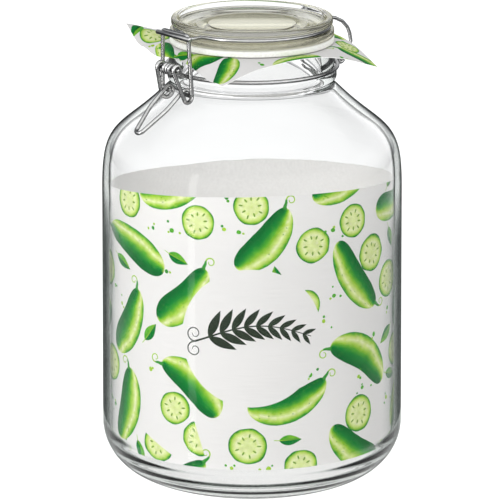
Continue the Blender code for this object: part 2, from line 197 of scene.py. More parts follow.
def clear_glass(name, body_tone, density, wave_mm, wave_height, painted_edge_stops, lighter_painted_edge_stops=None, soft=0.0):
    """Soda-lime glass: clear face on, darkened by painted shade where light glances off it or is thrown back
    inside the wall, tinted a little with depth, and waved by the mould; the lighter painted edge stops hold
    the painted shade for where it is painted less dark, mixed in by height."""
    look = new_material(name)
    place = add_node(look, "ShaderNodeTexCoord")
    waves = add_node(look, "ShaderNodeTexNoise", {"Scale": 1000 / wave_mm, "Detail": 1.0},
                     {"Vector": place.outputs["Object"]})
    ripple = add_node(look, "ShaderNodeBump", {"Strength": 1.0, "Distance": wave_height},
                      {"Height": waves.outputs["Fac"]})
    glance = add_node(look, "ShaderNodeFresnel", {"IOR": GLASS_IOR}, {"Normal": ripple.outputs["Normal"]})
    # painted shade: the glass is darkened as the light glances, which draws its edges dark
    painted_edge_ramp = add_node(look, "ShaderNodeValToRGB", {}, {"Fac": glance.outputs["Fac"]})
    set_stops(painted_edge_ramp, painted_edge_stops)
    painted_edge_shade = painted_edge_ramp.outputs["Color"]
    if lighter_painted_edge_stops:
        # a lighter painted edge shade, mixed in by height
        clear = add_node(look, "ShaderNodeValToRGB", {}, {"Fac": glance.outputs["Fac"]})
        set_stops(clear, lighter_painted_edge_stops)
        split = add_node(look, "ShaderNodeSeparateXYZ", {}, {"Vector": place.outputs["Object"]})
        level = add_node(look, "ShaderNodeMapRange", {"From Max": MOUTH_Z}, {"Value": split.outputs["Z"]})
        share = add_node(look, "ShaderNodeValToRGB", {}, {"Fac": level.outputs["Result"]})
        set_stops(share, LIGHTER_EDGE_SHADE_SHARE)
        painted_edge_shade = add_node(look, "ShaderNodeMix", {"data_type": "RGBA"},
                         {0: share.outputs["Color"], 6: painted_edge_shade, 7: clear.outputs["Color"]}).outputs[2]
    through = add_node(look, "ShaderNodeBsdfRefraction", {"IOR": GLASS_IOR, "Roughness": soft},
                       {"Color": painted_edge_shade, "Normal": ripple.outputs["Normal"]})
    # painted shade on the mirror image: darker face on, and darkened with the painted edge shade
    painted_reflection_dimming = add_node(look, "ShaderNodeValToRGB", {}, {"Fac": glance.outputs["Fac"]})
    set_stops(painted_reflection_dimming, FACE_ON_DIMMING)
    shaded_mirror_colour = add_node(look, "ShaderNodeMix", {"data_type": "RGBA", "blend_type": "MULTIPLY", 0: 1.0},
                     {6: painted_edge_shade, 7: painted_reflection_dimming.outputs["Color"]})
    mirror = add_node(look, "ShaderNodeBsdfAnisotropic", {"Roughness": soft},
                      {"Color": shaded_mirror_colour.outputs[2], "Normal": ripple.outputs["Normal"]})
    skin = add_node(look, "ShaderNodeMixShader", {},
                    {0: glance.outputs["Fac"], 1: through.outputs["BSDF"], 2: mirror.outputs["BSDF"]})
    depth = add_node(look, "ShaderNodeVolumeAbsorption", {"Color": linear(body_tone), "Density": density})
    add_node(look, "ShaderNodeOutputMaterial", {},
             {"Surface": skin.outputs["Shader"], "Volume": depth.outputs["Volume"]})
    return look


# Blown in a mould: almost colourless, with slow shallow waves and a fire-polished skin.
# painted shade darkens the jar's glass at its edges and inside its wall, less in the foot, shoulder and neck
jar_look = clear_glass("blown_soda_lime_glass", "#e4ebe6", density=4.0, wave_mm=26.0, wave_height=0.0001,
                       painted_edge_stops=[(0.14, "#fefefe"), (0.24, "#e6e8e7"), (0.36, "#b0b4b2"), (0.60, "#c4c8c6"),
                                 (0.96, "#b8bcba"), (1.0, "#a0a4a2")],
                       lighter_painted_edge_stops=[(0.36, "#fefefe"), (0.54, "#6c706e"), (0.96, "#7c807e"), (1.0, "#e2e5e3")])

rise, roof_r, rim_r = PUSH_UP
flat_r = FOOT_R - HEEL_R
section = [(0.0, rise)] + bezier((0.0, rise), (roof_r, rise), (rim_r, 0.0), (flat_r - FOOT_RING, 0.0), 12)
section += arc((flat_r, HEEL_R), HEEL_R, -90, 0, 28) + shoulder(0.0, 30)
for lead_in, lead_out, end, steps in NECK_CURVES:
    section += bezier(section[-1], lead_in, lead_out, end, steps)
section += arc((SEAT_R - LIP, MOUTH_Z - LIP), LIP, 0, 90, 6)
section += arc((MOUTH_R + LIP, MOUTH_Z - LIP), LIP, 90, 180, 6)
bore_end = inside_profile()[-1]
section += bezier((MOUTH_R, BORE_LOW), (MOUTH_R, BORE_LOW - BORE_LEAD),
                  (bore_end[0] - BORE_LEAD, bore_end[1] + BORE_LEAD), bore_end, 8)
section += list(reversed(inside_profile()[:-1]))
jar_piece = turned("jar_blown_glass", section)
jar_piece.data.materials.append(jar_look)
jar_piece.visible_shadow = False            # clear glass lets the lamps' light in
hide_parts("jar_glass")
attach(jar_piece, "jar")


# ---- The gasket: a flat ring of white natural rubber, moulded, squeezed between the mouth and the lid.

GASKET_LOW, GASKET_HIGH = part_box("rubber_gasket")
GASKET_OUT, GASKET_IN = GASKET_HIGH.x, 0.0410
GASKET_EDGE = 0.0008            # rounding of its corners
CHALK_PER_M = 900.0             # specks to the metre, each about 1 mm, as coarse as shows

# Natural rubber: milky white, soft satin, with fine specks of chalk filler.
rubber_look = new_material("white_natural_rubber")
place = add_node(rubber_look, "ShaderNodeTexCoord")
chalk = add_node(rubber_look, "ShaderNodeTexNoise", {"Scale": CHALK_PER_M, "Detail": 4.0},
                 {"Vector": place.outputs["Object"]})
milky = add_node(rubber_look, "ShaderNodeValToRGB", {}, {"Fac": chalk.outputs["Fac"]})
set_stops(milky, [(0.3, "#e2e2da"), (0.7, "#f4f4ef")])
grain = add_node(rubber_look, "ShaderNodeBump", {"Strength": 0.2, "Distance": 0.0001},
                 {"Height": chalk.outputs["Fac"]})
skin = add_node(rubber_look, "ShaderNodeBsdfPrincipled", {"IOR": 1.51, "Roughness": 0.5},
                {"Base Color": milky.outputs["Color"], "Normal": grain.outputs["Normal"]})
add_node(rubber_look, "ShaderNodeOutputMaterial", {}, {"Surface": skin.outputs["BSDF"]})

low, high = GASKET_LOW.z + GASKET_EDGE, GASKET_HIGH.z - GASKET_EDGE
ring = arc((GASKET_OUT - GASKET_EDGE, low), GASKET_EDGE, -90, 0, 5)
ring += arc((GASKET_OUT - GASKET_EDGE, high), GASKET_EDGE, 0, 90, 5)
ring += arc((GASKET_IN + GASKET_EDGE, high), GASKET_EDGE, 90, 180, 5)
ring += arc((GASKET_IN + GASKET_EDGE, low), GASKET_EDGE, 180, 270, 5)
gasket_piece = turned("rubber_ring", ring + ring[:1])
gasket_piece.data.materials.append(rubber_look)
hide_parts("rubber_gasket")
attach(gasket_piece, "lid")


# ---- The lid: thick pressed glass with a raised rim, a groove round its side for the lid wire, stepped
# rings on top and a plug below that centres it in the mouth.

LID_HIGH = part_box("lid_glass")[1]
LID_TOP = LID_HIGH.z
FLANGE_R = LID_HIGH.x
LID_R = 0.0494                  # outside radius of the rim
LID_BASE = 0.2765               # underside of the flange
LID_WIRE_Z = 0.2824
GROOVE_R = 0.0458
GROOVE_HALF = 0.0014            # half the groove's height
GROOVE_WIDE = 0.0011            # width over which its corners are rounded
GROOVE_TIGHT = (0.0002, 0.0003)     # how near to a square corner the rounding comes, across and along
LID_EDGE = 0.0008               # how far pressed edges are rounded
# the plug, as radius and depth below the flange: its flat face, a slight dip, a bead round it and its root
PLUG_FACE = ((0.0, 0.0024), (0.0335, 0.0024))
PLUG_DIP = ((0.0350, 0.0024), (0.0360, 0.0026), (0.0372, 0.0024))
PLUG_BEAD = ((0.0383, 190, 290), (0.0394, 290, 370))    # its two rounded sides: middle, first and last angle
PLUG_BEAD_R, PLUG_BEAD_DEPTH = 0.0011, 0.0021
PLUG_ROOT = ((0.0408, 0.0003), (0.0412, 0.0))
# the rim's rounding outside and inside, then the steps down, as radius and depth below the rim
RIM_OUT = 0.0018
RIM_IN, RIM_IN_R = 0.0016, 0.0466
RIM_STEP = ((0.0447, 0.0030), (0.0445, 0.0042), (0.0432, 0.0042))
STEP_DOWN = ((0.0352, 0.0042), (0.0345, 0.0042), (0.0345, 0.0051), (0.0336, 0.0051))
STEP_UP = ((0.0280, 0.0052), (0.0272, 0.0052), (0.0272, 0.0044), (0.0264, 0.0044))

# Pressed between a die and a plunger: thick, so that its yellow-green body colour shows, and less even.
# painted shade darkens the lid's glass a little, in a yellowish grey, where light glances off it
lid_look = clear_glass("pressed_yellow_green_glass", "#e2e0c4", density=8.0, wave_mm=9.0,
                       wave_height=0.000008, soft=0.10,
                       painted_edge_stops=[(0.20, "#fefefe"), (0.42, "#dbdac8"), (0.80, "#e4e3cf"), (0.97, "#d2d0c4"),
                                 (1.0, "#f8f7ef")])


def below(height, points):
    """Points of radius and height, from radius and depth below a height."""
    return [(radius, height - depth) for radius, depth in points]


low, high = LID_WIRE_Z - GROOVE_HALF, LID_WIRE_Z + GROOVE_HALF
under = below(LID_BASE, list(PLUG_FACE) + bezier(PLUG_FACE[-1], *PLUG_DIP, 5))
for middle, start, end in PLUG_BEAD:
    under += arc((middle, LID_BASE - PLUG_BEAD_DEPTH), PLUG_BEAD_R, start, end, 5)
under += below(LID_BASE, PLUG_ROOT)
side = arc((FLANGE_R - LID_EDGE, LID_BASE + LID_EDGE), LID_EDGE, -90, 0, 5)
side += arc((FLANGE_R - LID_EDGE, low - LID_EDGE), LID_EDGE, 0, 90, 5)
across, along = GROOVE_TIGHT
side += bezier((GROOVE_R + GROOVE_WIDE, low), (GROOVE_R + across, low), (GROOVE_R, low + along),
               (GROOVE_R, LID_WIRE_Z), 4)
side += bezier((GROOVE_R, LID_WIRE_Z), (GROOVE_R, high - along), (GROOVE_R + across, high),
               (GROOVE_R + GROOVE_WIDE, high), 4)
side += arc((LID_R - LID_EDGE, high + LID_EDGE), LID_EDGE, -90, 0, 5)
side += arc((LID_R - RIM_OUT, LID_TOP - RIM_OUT), RIM_OUT, 0, 90, 8)
top = arc((RIM_IN_R, LID_TOP - RIM_IN), RIM_IN, 90, 165, 6)
top += bezier(top[-1], *below(LID_TOP, RIM_STEP), 5)
for step in (STEP_DOWN, STEP_UP):
    top += bezier(*below(LID_TOP, step), 5)
top += [(0.0, top[-1][1])]
lid_piece = turned("lid_pressed_glass", under + side + top)
lid_piece.data.materials.append(lid_look)
lid_piece.visible_shadow = False
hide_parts("lid_glass")
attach(lid_piece, "lid")


# ---- The printed papers: a sheet rolled up inside the jar and a square under the lid. Offset print in
# greens on matt white paper: gherkins, slices, leaves and drops. In front a round field holds a dark sprig.

INK = {name: linear(colour) for name, colour in {
    "paper": "#f1efed", "deep": "#006c2c", "green": "#0f8a34", "mid": "#55b02e", "light": "#a4d13c",
    "pale": "#d2e67e", "cream": "#f0f5c4", "seed": "#7fa843", "stem": "#3f9a3c", "dark": "#2e3a2c"}.items()}


def blend(stops, t):
    """A colour between named inks, at t along (position, ink) stops."""
    t = min(max(t, stops[0][0]), stops[-1][0])
    for (a, one), (b, two) in zip(stops, stops[1:]):
        if t <= b:
            part = (t - a) / (b - a)
            return tuple(x + (y - x) * part for x, y in zip(INK[one], INK[two]))
    return INK[stops[-1][1]]


def moved(points, x, y, turn):
    """The points turned about the origin and then moved."""
    cos, sin = math.cos(turn), math.sin(turn)
    return [(x + a * cos - b * sin, y + a * sin + b * cos) for a, b in points]


def oval(x, y, half_long, half_wide, turn=0.0, sides=20, wobble=0.0, seed=0.0):
    """Points of an oval outline, anticlockwise; wobble makes it hand-drawn."""
    points = []
    for side in range(sides):
        angle = 2 * math.pi * side / sides
        swell = 1 + wobble * noise.noise(Vector((2 * math.cos(angle), 2 * math.sin(angle), seed)))
        points.append((half_long * swell * math.cos(angle), half_wide * swell * math.sin(angle)))
    return moved(points, x, y, turn)


def ribbon(points, first, last):
    """Outline of a thin stroke along points, its width going from first to last."""
    left, right = [], []
    for index, (x, y) in enumerate(points):
        before, after = points[max(index - 1, 0)], points[min(index + 1, len(points) - 1)]
        angle = math.atan2(after[1] - before[1], after[0] - before[0])
        half = 0.5 * (first + (last - first) * index / (len(points) - 1))
        left.append((x - half * math.sin(angle), y + half * math.cos(angle)))
        right.append((x + half * math.sin(angle), y - half * math.cos(angle)))
    return right + left[::-1]


def tendril(x, y, side, size, twist, tighter, steps):
    """A curl to one side of its foot, each step of it turned by twist and tighter than the last."""
    curl = []
    for step in steps:
        reach = size - tighter * step
        curl.append((x - reach * math.sin(twist * step), y + side * (size - reach * math.cos(twist * step))))
    return curl


def plain(ink):
    """Paint of one ink."""
    return lambda x, y: INK[ink]


# a gherkin's inks across it, from its dark edge (-1) to its lit edge (1)
GHERKIN_INKS = [(-0.75, "deep"), (-0.30, "green"), (-0.06, "mid"), (0.16, "light"), (0.34, "pale"),
                (0.48, "cream"), (0.62, "pale"), (0.78, "light"), (0.90, "mid"), (1.0, "green")]
GHERKIN_SHADED = (-0.7, -0.35, -0.1, 0.1, 0.3, 0.5, 0.7, 0.86)      # where extra points across it carry them
WARTS = 16
STALK = [(0.6, 0.0), (-1.4, 0.1), (-3.4, 0.5), (-5.2, 0.3)]          # from the gherkin's end outwards


def gherkin(length, width, bend, seed):
    """A curved gherkin, dark along one side with a pale highlight, warts, a stalk and a curled tendril:
    shapes with their inks and extra shading points, in mm."""
    sweep = length ** 2 / (8 * bend)          # radius of its middle line, from how far it bows
    rnd = random.Random(round(1000 * seed))

    # u runs along it, from its stalk (-1) to its tip (1), and v across it, from edge to edge
    def half_width(u):
        lumps = 0.09 * math.sin(2.3 * u + seed) + 0.03 * noise.noise(Vector((5 * u, seed, 3.0)))
        return 0.5 * width * max(1 - abs(u) ** 2.9, 0.0) ** 0.48 * (1 + lumps + 0.08 * u)

    def spot(u, v):
        angle = 0.5 * u * length / sweep
        reach = sweep + v * half_width(u)
        return (math.sin(angle) * reach, math.cos(angle) * reach - sweep)

    def paint(x, y):
        angle = math.atan2(x, y + sweep)
        u = max(-1.0, min(1.0, 2 * angle * sweep / length))
        v = (math.hypot(x, y + sweep) - sweep) / max(half_width(u), 0.2)
        v += 0.14 * noise.noise(Vector((x / 9, y / 9, seed)))
        v += 0.10 * noise.noise(Vector((x / 1.5, y / 1.5, seed)))
        v -= 0.8 * abs(u) ** 5
        return blend(GHERKIN_INKS, v)

    around = [-math.cos(math.pi * i / 26) for i in range(27)]
    outline = [spot(u, -1.0) for u in around] + [spot(u, 1.0) for u in reversed(around[1:-1])]
    inner = [spot(0.94 * (-1 + i / 14), v) for i in range(29) for v in GHERKIN_SHADED]
    shapes = [(outline, paint)]
    for _ in range(WARTS):
        v = rnd.uniform(-0.7, 0.75)
        x, y = spot(rnd.uniform(-0.85, 0.85), v)
        shapes.append((oval(x, y, 0.45, 0.32, rnd.uniform(0, 3), 6), plain("mid" if v < -0.1 else "stem")))
    end = spot(-0.985, 0.0)
    lean = 0.5 * length / sweep
    curl = STALK[-1:] + tendril(*STALK[-1], rnd.choice((-1, 1)), 3.0, 0.45, 0.13, range(1, 15))
    shapes.append((moved(ribbon(curl, 0.9, 0.5), *end, lean), plain("light")))
    shapes.append((moved(ribbon(STALK, 2.6, 1.2), *end, lean), plain("stem")))
    return shapes, inner


# a slice's inks from its middle (0) to its skin (1)
SLICE_INKS = [(0.0, "pale"), (0.28, "cream"), (0.42, "pale"), (0.56, "cream"), (0.78, "pale"),
              (0.86, "light"), (0.92, "mid"), (0.96, "green"), (1.0, "deep")]
SLICE_SHADED = (0.15, 0.35, 0.55, 0.72, 0.82, 0.88, 0.93, 0.965)    # where rings of extra points carry them
PIPS = 9


def slice_round(radius, seed, whole=True):
    """A round slice, or half of one: dark skin, pale flesh, a ring of seeds."""
    def paint(x, y):
        return blend(SLICE_INKS, math.hypot(x, y) / radius + 0.04 * noise.noise(Vector((x / 2, y / 2, seed))))

    def ring(share, sides):
        points = oval(0, 0, radius * share, radius * 0.97 * share, 0, sides, 0.06, seed)
        return points if whole else [p for p in points if p[1] > -0.5]

    inner = [p for share in SLICE_SHADED for p in ring(share, 10 + round(24 * share))]
    shapes = [(ring(1.0, 40), paint)]
    for pip in range(PIPS):
        angle = 2 * math.pi * pip / PIPS + seed
        reach = radius * (0.46 + 0.12 * (pip % 2))
        x, y = reach * math.cos(angle), reach * math.sin(angle)
        if whole or y > 1.5:
            shapes.append((oval(x, y, 1.35, 0.55, angle, 8), plain("seed")))
    return shapes, inner


def blade_edges(length, half_wide, parts):
    """The two edges of a leaf's outline, from its foot to its tip and back."""
    steps = [i / parts for i in range(parts + 1)]
    edge = [(t * length, half_wide * math.sin(math.pi * t ** 0.8)) for t in steps]
    return [(x, -y) for x, y in edge] + edge[-2:0:-1]


LEAF_PARTS = 12


def leaf(length, width, seed):
    """A pointed leaf, one half darker than the other, with a pale rib."""
    def paint(x, y):
        tone = 0.35 * x / length + 0.25 * noise.noise(Vector((x / 2, y / 2, seed)))
        if y < 0:
            return blend([(0.0, "deep"), (0.6, "green"), (1.0, "mid")], tone + 0.2)
        return blend([(0.0, "green"), (0.5, "mid"), (1.0, "light")], tone + 0.4)

    outline = blade_edges(length, 0.5 * width, LEAF_PARTS)
    inner = [(x, v * y) for x, y in reversed(outline[LEAF_PARTS + 1:]) for v in (-0.5, 0.5)]
    rib = [(0.0, -0.25), (0.92 * length, 0.0), (0.0, 0.25), (-3.0, 0.45), (-3.0, -0.05)]
    return [(outline, paint), (rib, plain("light"))], inner


SPRIG_FOOT, SPRIG_LENGTH, SPRIG_ARCH = -35, 71, 8.0     # where its stem starts, how far it goes, how it bows
STEM_PARTS = 40
BLADE, BLADE_LESS = 20.0, 0.30          # length of its leaves, and how much less for each part of the stem
BLADE_LEAN, LEAN_LESS = 46, 0.3         # how far they lean out, in degrees, and how much less for each part
BLADE_HALF = 0.15                       # half a leaf's width, as a share of its length


def leafy_sprig():
    """A plain sprig in dark ink: an arched stem with leaves in pairs and a pair of tendrils at its foot."""
    stem = []
    for i in range(STEM_PARTS + 1):
        share = i / STEM_PARTS
        stem.append((SPRIG_FOOT + SPRIG_LENGTH * i / STEM_PARTS,
                     SPRIG_ARCH * math.sin(math.pi * (share - 0.12) * 1.15)))
    outlines = [ribbon(stem, 1.2, 0.5)]
    for index in range(5, STEM_PARTS, 4):
        (x, y), (x1, y1) = stem[index], stem[index + 1]
        size = BLADE - BLADE_LESS * index
        for side in (-1, 1):
            turn = math.atan2(y1 - y, x1 - x) + side * math.radians(BLADE_LEAN - LEAN_LESS * index)
            outlines.append(moved(blade_edges(size, BLADE_HALF * size, 10), x, y, turn))
    for side in (-1, 1):
        outlines.append(ribbon(tendril(*stem[0], side, 5.0, 0.42, 0.2, range(20)), 0.9, 0.4))
    return [(outline, plain("dark")) for outline in outlines], []


def drops(seed):
    """A few drops of green, larger and smaller."""
    rnd = random.Random(round(1000 * seed))
    shapes = []
    for index in range(rnd.randint(2, 4)):
        size = rnd.uniform(0.7, 1.0) if index else rnd.uniform(1.2, 1.7)
        x, y = (2.9 * index * math.cos(2.2 * index + seed), 1.9 * index * math.sin(2.2 * index + seed))
        ink = rnd.choice(("mid", "light", "stem"))
        shapes.append((oval(x, y, size, 0.9 * size, 0, 10, 0.2, seed), plain(ink)))
    return shapes, []


def any_gherkin(rnd):
    """A gherkin of a size and bend drawn at random."""
    return gherkin(rnd.uniform(48, 58), rnd.uniform(16.5, 20), rnd.uniform(5, 10), rnd.uniform(0, 9))


def any_slice(rnd):
    """A slice drawn at random, one in five of them a half."""
    return slice_round(rnd.uniform(10.5, 12), rnd.uniform(0, 9), rnd.random() < 0.8)


def any_leaf(rnd):
    """A leaf of a size drawn at random."""
    return leaf(rnd.uniform(13, 17), rnd.uniform(6, 8), rnd.uniform(0, 9))


def any_drops(rnd):
    """A few drops drawn at random."""
    return drops(rnd.uniform(0, 9))


# room that each motif keeps: radius of the circles that cover it, and their places along it, in mm
GHERKIN_ROOM = (9.6, (-26, -15, -5, 5, 15))
SLICE_ROOM = (11.6, (0,))
LEAF_ROOM = (4.0, (2, 8, 13))
DROP_ROOM = (3.6, (0,))
ASTRAY = 0.25                   # how far a gherkin strays from its place in the repeat, in pitches
GHERKIN_TRIES, SMALL_TRIES = 60, 300    # places tried for a motif before it is left out


def lay_out(width, low, high, pitch, slices, leaves, drop_groups, seed):
    """Spreads gherkins over a sheet in a half-drop repeat, each turned where it has room, and scatters
    slices, leaves and drops between them by a seeded draw."""
    rnd = random.Random(seed)
    taken, placed = [], []

    def fits(make, x, y, turn, room):
        reach, places = room
        circles = [(x + s * math.cos(turn), y + s * math.sin(turn), reach) for s in places]
        if not all(math.dist(c[:2], t[:2]) > c[2] + t[2] for c in circles for t in taken):
            return False
        taken.extend(circles)
        placed.append((make(rnd), x, y, turn))
        return True

    columns = max(1, round(width / pitch))
    rows = max(1, round((high - low) / pitch))
    for column in range(columns):
        for row in range(rows + 1):
            for _ in range(GHERKIN_TRIES):
                x = (column + 0.5 + rnd.uniform(-ASTRAY, ASTRAY)) * width / columns
                y = low + (row + 0.5 * (column % 2) + rnd.uniform(-ASTRAY, ASTRAY)) * (high - low) / rows
                if fits(any_gherkin, x, y, rnd.uniform(0, 2 * math.pi), GHERKIN_ROOM):
                    break
    for count, make, room in ((slices, any_slice, SLICE_ROOM), (leaves, any_leaf, LEAF_ROOM),
                              (drop_groups, any_drops, DROP_ROOM)):
        for _ in range(count):
            for _ in range(SMALL_TRIES):
                x, y, turn = rnd.uniform(0, width), rnd.uniform(low, high), rnd.uniform(0, 2 * math.pi)
                if fits(make, x, y, turn, room):
                    break
    return placed


SAME_PLACE = 1e-5               # points of the print closer than this are one, in mm


def printed_mesh(name, outline, placed, spacing, bare=None, emblem=()):
    """Cuts the motifs into a flat sheet, in mm, and gives each corner its ink; bare is left unprinted but
    for the emblem."""
    points, faces, shades = list(outline), [list(range(len(outline)))], [None]
    for motif in placed + ([bare] if bare else []) + list(emblem):
        if motif is bare:
            faces.append(list(range(len(points), len(points) + len(bare))))
            points += bare
            shades.append(None)
            continue
        (shapes, inner), x, y, turn = motif
        for shape, paint in shapes:
            faces.append(list(range(len(points), len(points) + len(shape))))
            points += moved(shape, x, y, turn)
            shades.append((paint, x, y, math.cos(turn), math.sin(turn)))
        points += moved(inner, x, y, turn)
    xs, ys = [p[0] for p in outline], [p[1] for p in outline]
    rows = int((max(ys) - min(ys)) / spacing)
    columns = int((max(xs) - min(xs)) / spacing)
    for row in range(1, rows):
        for column in range(1, columns):
            x = min(xs) + spacing * (column + 0.5 * (row % 2))
            points.append((x, min(ys) + spacing * row))
    places = [Vector(p) for p in points]
    cut, _, triangles, _, _, inside = delaunay_2d_cdt(places, [], faces, 0, SAME_PLACE, True)
    kept = [(t, ids) for t, ids in zip(triangles, inside) if 0 in ids]
    mesh = bpy.data.meshes.new(name)
    mesh.from_pydata([(*p, 0.0) for p in cut], [], [list(t) for t, _ in kept])
    ink = mesh.color_attributes.new("ink", "FLOAT_COLOR", "CORNER")
    sheet_map = mesh.uv_layers.new(name="sheet")
    corner = 0
    for triangle, ids in kept:
        shade = shades[max(ids)]
        for vert in triangle:
            x, y = cut[vert]
            colour = INK["paper"]
            if shade:
                paint, x0, y0, cos, sin = shade
                dx, dy = x - x0, y - y0
                colour = paint(dx * cos + dy * sin, dy * cos - dx * sin)
            ink.data[corner].color = (*colour[:3], 1.0 if shade else 0.0)
            sheet_map.data[corner].uv = (x / 1000, y / 1000)
            corner += 1
    piece = bpy.data.objects.new(name, mesh)
    bpy.context.scene.collection.objects.link(piece)
    return piece


def thicken(piece, thickness, offset, front, back):
    """Gives a sheet its thickness: ink side in one material, back and edges in the other."""
    bpy.ops.object.select_all(action="DESELECT")
    piece.select_set(True)
    bpy.context.view_layer.objects.active = piece
    bpy.ops.object.mode_set(mode="EDIT")
    bpy.ops.mesh.select_all(action="SELECT")
    bpy.ops.mesh.delete_loose()
    bpy.ops.object.mode_set(mode="OBJECT")
    piece.data.materials.append(front)
    piece.data.materials.append(back)
    wall = piece.modifiers.new("thickness", "SOLIDIFY")
    wall.thickness = thickness
    wall.offset = offset
    wall.material_offset = 1
    wall.material_offset_rim = 1
    bpy.ops.object.modifier_apply(modifier="thickness")
    bpy.ops.object.shade_smooth_by_angle(angle=CREASE)


PRESS_PER_M = (60.0, 1400.0, 1.0)       # lines from the press: long along the sheet, 0.7 mm across
FIBRE_PER_M = 700.0             # fibres, as clumps of about 1.4 mm, as coarse as shows
POOL_PER_M = 260.0              # pools in the ink, about 4 mm
POOL_SHADE = (0.80, 1.20)       # how much they darken and lighten the ink


def paper_skin(look, fibre, colour):
    """Gives a material the matt, toothed skin of paper, in the colour that a socket feeds."""
    tooth = add_node(look, "ShaderNodeBump", {"Strength": 0.25, "Distance": 0.00005},
                     {"Height": fibre.outputs["Fac"]})
    skin = add_node(look, "ShaderNodeBsdfPrincipled",
                    {"IOR": 1.5, "Specular IOR Level": 0.1, "Roughness": 0.7},
                    {"Base Color": colour, "Normal": tooth.outputs["Normal"]})
    add_node(look, "ShaderNodeOutputMaterial", {}, {"Surface": skin.outputs["BSDF"]})


def printed_paper(name, low_press_line_and_shade, high_press_line_and_shade):
    """Matt paper with an offset print: fibres roughen it a little, the ink pools like watercolour, and
    the sheet has faint lines along its run through the press, between the two shades given; low shades also
    darken the whole sheet and its ink as painted shade."""
    look = new_material(name)
    flat = add_node(look, "ShaderNodeUVMap", {"uv_map": "sheet"})
    ink = add_node(look, "ShaderNodeVertexColor", {"layer_name": "ink"})
    lines = add_node(look, "ShaderNodeMapping", {"Scale": PRESS_PER_M}, {"Vector": flat.outputs["UV"]})
    press = add_node(look, "ShaderNodeTexNoise", {"Scale": 1.0, "Detail": 2.0},
                     {"Vector": lines.outputs["Vector"]})
    fibre = add_node(look, "ShaderNodeTexNoise", {"Scale": FIBRE_PER_M, "Detail": 5.0},
                     {"Vector": flat.outputs["UV"]})
    pool = add_node(look, "ShaderNodeTexNoise", {"Scale": POOL_PER_M, "Detail": 4.0},
                    {"Vector": flat.outputs["UV"]})
    # the press lines' shading, which for the square also holds painted shade over the whole sheet
    press_lines_and_painted_shade = add_node(look, "ShaderNodeMapRange", {"To Min": low_press_line_and_shade, "To Max": high_press_line_and_shade},
                           {"Value": press.outputs["Fac"]})
    pool_shade = add_node(look, "ShaderNodeMapRange", {"To Min": POOL_SHADE[0], "To Max": POOL_SHADE[1]},
                          {"Value": pool.outputs["Fac"]})
    pooled = add_node(look, "ShaderNodeMix", {"data_type": "FLOAT", 2: 1.0},
                      {0: ink.outputs["Alpha"], 3: pool_shade.outputs["Result"]})
    depth = add_node(look, "ShaderNodeMath", {"operation": "MULTIPLY"},
                     {0: pooled.outputs[0], 1: press_lines_and_painted_shade.outputs["Result"]})
    shade = add_node(look, "ShaderNodeVectorMath", {"operation": "SCALE"},
                     {0: ink.outputs["Color"], "Scale": depth.outputs[0]})
    paper_skin(look, fibre, shade.outputs[0])
    return look


# White poster paper for the sleeve; the square under the lid, paper and ink alike, is darkened by painted
# shade.
print_look = printed_paper("white_offset_printed_paper", low_press_line_and_shade=0.93, high_press_line_and_shade=1.05)
square_look = printed_paper("offset_printed_paper_in_painted_shade", low_press_line_and_shade=0.66, high_press_line_and_shade=0.74)

# The unprinted back of the same paper, a shade greyer.
back_look = new_material("bare_paper_back")
place = add_node(back_look, "ShaderNodeTexCoord")
fibre = add_node(back_look, "ShaderNodeTexNoise", {"Scale": FIBRE_PER_M, "Detail": 5.0},
                 {"Vector": place.outputs["Object"]})
pulp = add_node(back_look, "ShaderNodeValToRGB", {}, {"Fac": fibre.outputs["Fac"]})
set_stops(pulp, [(0.3, "#ecebe9"), (0.7, "#f5f4f2")])
paper_skin(back_look, fibre, pulp.outputs["Color"])

# the rolled sheet, laid out flat in mm and then rolled up; its ends overlap at the back
SLEEVE_LOW, SLEEVE_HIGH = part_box("paper_sleeve")
SLEEVE_GAP = 0.0005
SLEEVE_PAPER = 0.0003
SLEEVE_TOP = 0.1865             # mean height of the top edge
SLEEVE_LEAN = (0.096, -0.050)   # rise of the top edge towards +X and +Y, metres per metre
SLEEVE_R = 0.0885               # radius that the flat sheet's length is worked out from
OVERLAP = math.radians(14)
FRONT = math.radians(-39)       # direction of the bare field's middle from +X
SEAM = FRONT + math.pi          # direction of the seam
# the first end is tucked under the last: how far round it is level again, and over how much, in radians
TUCK_FROM, TUCK_OVER = 0.5, 0.4
TUCK_SHEETS = 2.2               # how far, in thicknesses of the paper
FIELD_Z, FIELD_R = 0.1090, 0.0430       # height of the bare field's middle, and its radius
EDGE_STEPS = 150                # points along the sheet's long edges


def inside_radius(height):
    """Inner radius of the glass at a height between the floor and the neck."""
    wall = inside_profile()
    for (r0, z0), (r1, z1) in zip(wall[1:], wall[2:]):
        if z0 <= height <= z1 and z1 > z0:
            return r0 + (r1 - r0) * (height - z0) / (z1 - z0)
    return wall[-1][0]


def ease(t):
    """Runs from 0 to 1 with soft ends."""
    return t * t * (3 - 2 * t)


